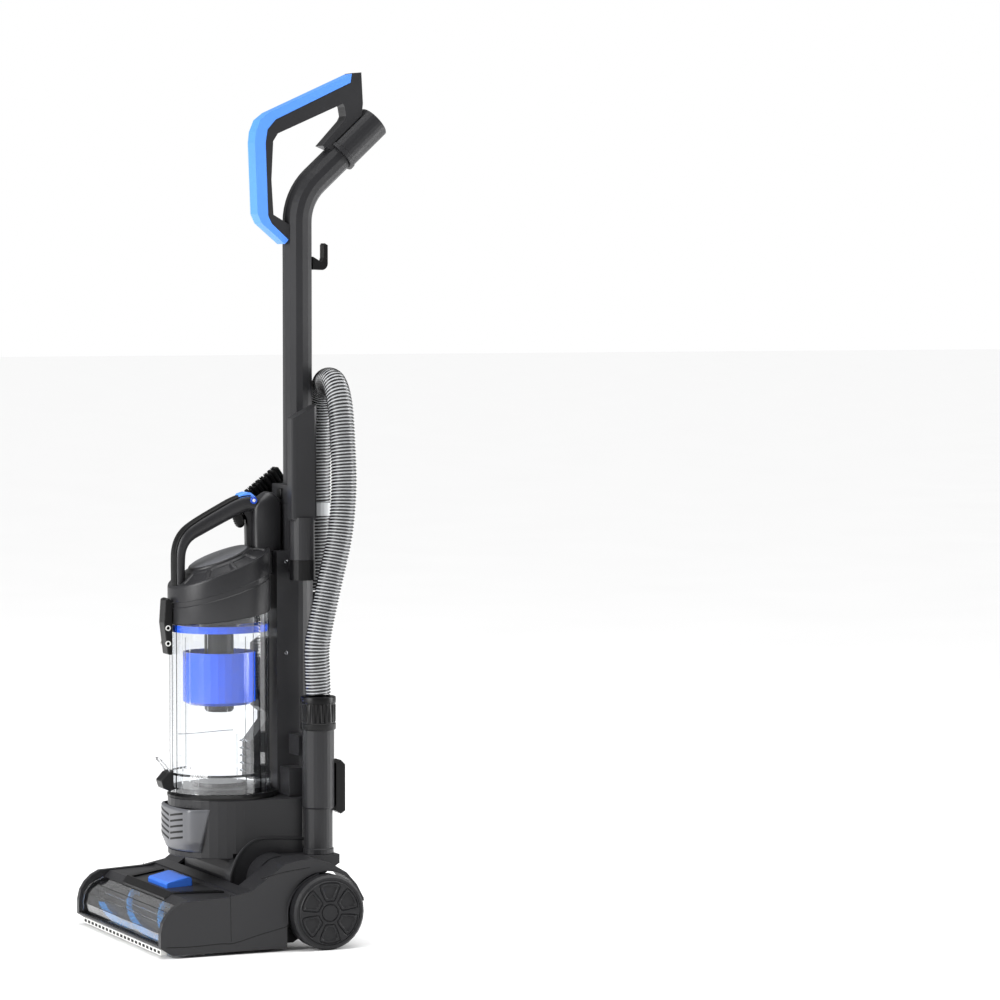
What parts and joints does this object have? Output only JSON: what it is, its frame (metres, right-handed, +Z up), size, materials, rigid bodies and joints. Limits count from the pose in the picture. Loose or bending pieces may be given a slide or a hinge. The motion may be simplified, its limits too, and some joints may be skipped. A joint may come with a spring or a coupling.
{
  "type": "upright vacuum cleaner",
  "caption": "Lightweight bagless upright vacuum cleaner with clear dust cup, loop handle, wand, stretch hose, tools and a reclining floor head.",
  "frame": {"origin": "on the floor, at the middle of the bounding box", "axes": "+Z up, +Y to the rear, +X to the side that carries the hose"},
  "size_m": [0.364, 0.3738, 1.1212],
  "materials": {
    "charcoal_plastic": "satin",
    "base_plastic": "satin",
    "black_plastic": "satin",
    "grey_plastic": "satin",
    "light_grey_plastic": "satin",
    "white_plastic": "satin",
    "blue_plastic": "gloss",
    "grip_blue": "soft touch",
    "wheel_plastic": "matte",
    "rubber": "matte",
    "steel": "turned",
    "motor_metal": "pressed",
    "filter_foam": "matte",
    "hose_plastic": "ribbed",
    "clear_cup": "clear",
    "smoked_window": "clear, smoked",
    "bristle": "bristle"
  },
  "bodies": {
    "floor_head": {"nozzle_base": "base_plastic", "nozzle_cover": "charcoal_plastic", "nozzle_window": "smoked_window", "window_trim": "black_plastic", "front_bumper": "white_plastic", "rear_squeegee": "rubber", "brush_bearing_left": "grey_plastic", "brush_bearing_right": "grey_plastic", "wheel_axle_left": "steel", "wheel_axle_right": "steel", "drive_belt": "rubber"},
    "left_wheel": {"wheel_left": "wheel_plastic", "hub_cap_left": "charcoal_plastic"},
    "right_wheel": {"wheel_right": "wheel_plastic", "hub_cap_right": "charcoal_plastic"},
    "left_roller": {"front_roller_left": "wheel_plastic"},
    "right_roller": {"front_roller_right": "wheel_plastic"},
    "brush": {"brush_roll": "blue_plastic"},
    "rotor": {"motor_shaft": "steel", "motor_fan": "grey_plastic"},
    "pedal": {"release_pedal": "blue_plastic"},
    "upright": {"motor_housing": "charcoal_plastic", "cup_base_ring": "black_plastic", "exhaust_grille": "grey_plastic", "exhaust_filter": "filter_foam", "pre_motor_filter": "filter_foam", "motor": "motor_metal", "spine": "charcoal_plastic", "wand_socket": "grey_plastic", "tool_holder": "black_plastic", "cord_gland": "rubber", "hose_clip": "light_grey_plastic", "hose_inlet": "black_plastic", "lower_duct": "charcoal_plastic", "hose_cuff": "black_plastic", "suction_elbow": "charcoal_plastic", "lower_cord_hook": "black_plastic", "hose": "hose_plastic"},
    "cup": {"dust_cup": "clear_cup", "cup_lid": "charcoal_plastic", "seal_ring": "blue_plastic", "cyclone_stem": "black_plastic", "cyclone_cup": "blue_plastic", "cup_inlet_ramp": "grey_plastic", "carry_handle": "charcoal_plastic", "handle_pin": "grip_blue"},
    "cup_button": {"cup_release_button": "grip_blue"},
    "strap": {"front_strap": "black_plastic"},
    "door": {"bottom_door": "black_plastic"},
    "latch": {"door_latch": "charcoal_plastic"},
    "wand": {"wand_tube": "charcoal_plastic", "wand_collar": "charcoal_plastic", "handle_loop": "charcoal_plastic", "handle_grip": "grip_blue"},
    "top_hook": {"upper_cord_hook": "black_plastic"},
    "crevice": {"crevice_tool": "charcoal_plastic"},
    "duster": {"dusting_brush": "black_plastic", "dusting_bristles": "bristle"},
    "wand_button": {"wand_release_button": "black_plastic"},
    "switch": {"power_switch": "blue_plastic"}
  },
  "joints": [
    {"name": "recline", "type": "hinge", "parent": "floor_head", "child": "upright", "pos_m": [0, -0.0054, 0.081], "axis": [-1, 0, 0], "range_deg": [0, 75]},
    {"name": "left_wheel_spin", "type": "hinge", "parent": "floor_head", "child": "left_wheel", "pos_m": [0, 0.0346, 0.048], "axis": [1, 0, 0], "continuous": true},
    {"name": "right_wheel_spin", "type": "hinge", "parent": "floor_head", "child": "right_wheel", "pos_m": [0, 0.0346, 0.048], "axis": [1, 0, 0], "continuous": true},
    {"name": "left_roller_spin", "type": "hinge", "parent": "floor_head", "child": "left_roller", "pos_m": [0, -0.0504, 0.0065], "axis": [1, 0, 0], "continuous": true},
    {"name": "right_roller_spin", "type": "hinge", "parent": "floor_head", "child": "right_roller", "pos_m": [0, -0.0504, 0.0065], "axis": [1, 0, 0], "continuous": true},
    {"name": "brush_spin", "type": "hinge", "parent": "floor_head", "child": "brush", "pos_m": [0, -0.1434, 0.03], "axis": [1, 0, 0], "continuous": true},
    {"name": "rotor_spin", "type": "hinge", "parent": "upright", "child": "rotor", "pos_m": [0, -0.0054, 0.081], "axis": [1, 0, 0], "continuous": true},
    {"name": "pedal_press", "type": "hinge", "parent": "floor_head", "child": "pedal", "pos_m": [0, -0.1314, 0.0695], "axis": [-1, 0, 0], "range_deg": [0, 8], "stiffness_Nm_per_rad": 2, "springref_deg": -2.86},
    {"name": "cup_lift", "type": "slide", "parent": "upright", "child": "cup", "axis": [0, -0.8, 0.6], "range_m": [0, 0.2]},
    {"name": "cup_button_press", "type": "slide", "parent": "cup", "child": "cup_button", "axis": [0, 0, -1], "range_m": [0, 0.0025], "stiffness_N_per_m": 600, "springref_m": -0.001},
    {"name": "strap_open", "type": "hinge", "parent": "cup", "child": "strap", "pos_m": [0, -0.1194, 0.437], "axis": [-1, 0, 0], "range_deg": [0, 50]},
    {"name": "door_open", "type": "hinge", "parent": "cup", "child": "door", "pos_m": [0, 0.0196, 0.1915], "axis": [1, 0, 0], "range_deg": [0, 46]},
    {"name": "latch_open", "type": "hinge", "parent": "cup", "child": "latch", "pos_m": [0, -0.1149, 0.218], "axis": [-1, 0, 0], "range_deg": [0, 15], "stiffness_Nm_per_rad": 0.5, "springref_deg": -5.73},
    {"name": "wand_lift", "type": "slide", "parent": "upright", "child": "wand", "axis": [0, 0, 1], "range_m": [0, 0.09]},
    {"name": "top_hook_swivel", "type": "hinge", "parent": "wand", "child": "top_hook", "pos_m": [0, 0.0866, 0.8725], "axis": [0, 1, 0], "range_deg": [0, 180]},
    {"name": "crevice_lift", "type": "slide", "parent": "upright", "child": "crevice", "axis": [0, 0, 1], "range_m": [0, 0.12]},
    {"name": "duster_pull", "type": "slide", "parent": "upright", "child": "duster", "axis": [-1, 0, 0], "range_m": [0, 0.06]},
    {"name": "wand_button_press", "type": "slide", "parent": "upright", "child": "wand_button", "axis": [0, 1, 0], "range_m": [0, 0.0022], "stiffness_N_per_m": 600, "springref_m": -0.001},
    {"name": "switch_press", "type": "slide", "parent": "upright", "child": "switch", "axis": [0, -1, 0], "range_m": [0, 0.0025], "stiffness_N_per_m": 600, "springref_m": -0.001}
  ],
  "couplings": [
    {"joint": "rotor_spin", "follows": "brush_spin", "ratio": 1.862},
    {"joint": "door_open", "follows": "cup_lift", "rad_per_m": 4}
  ]
}
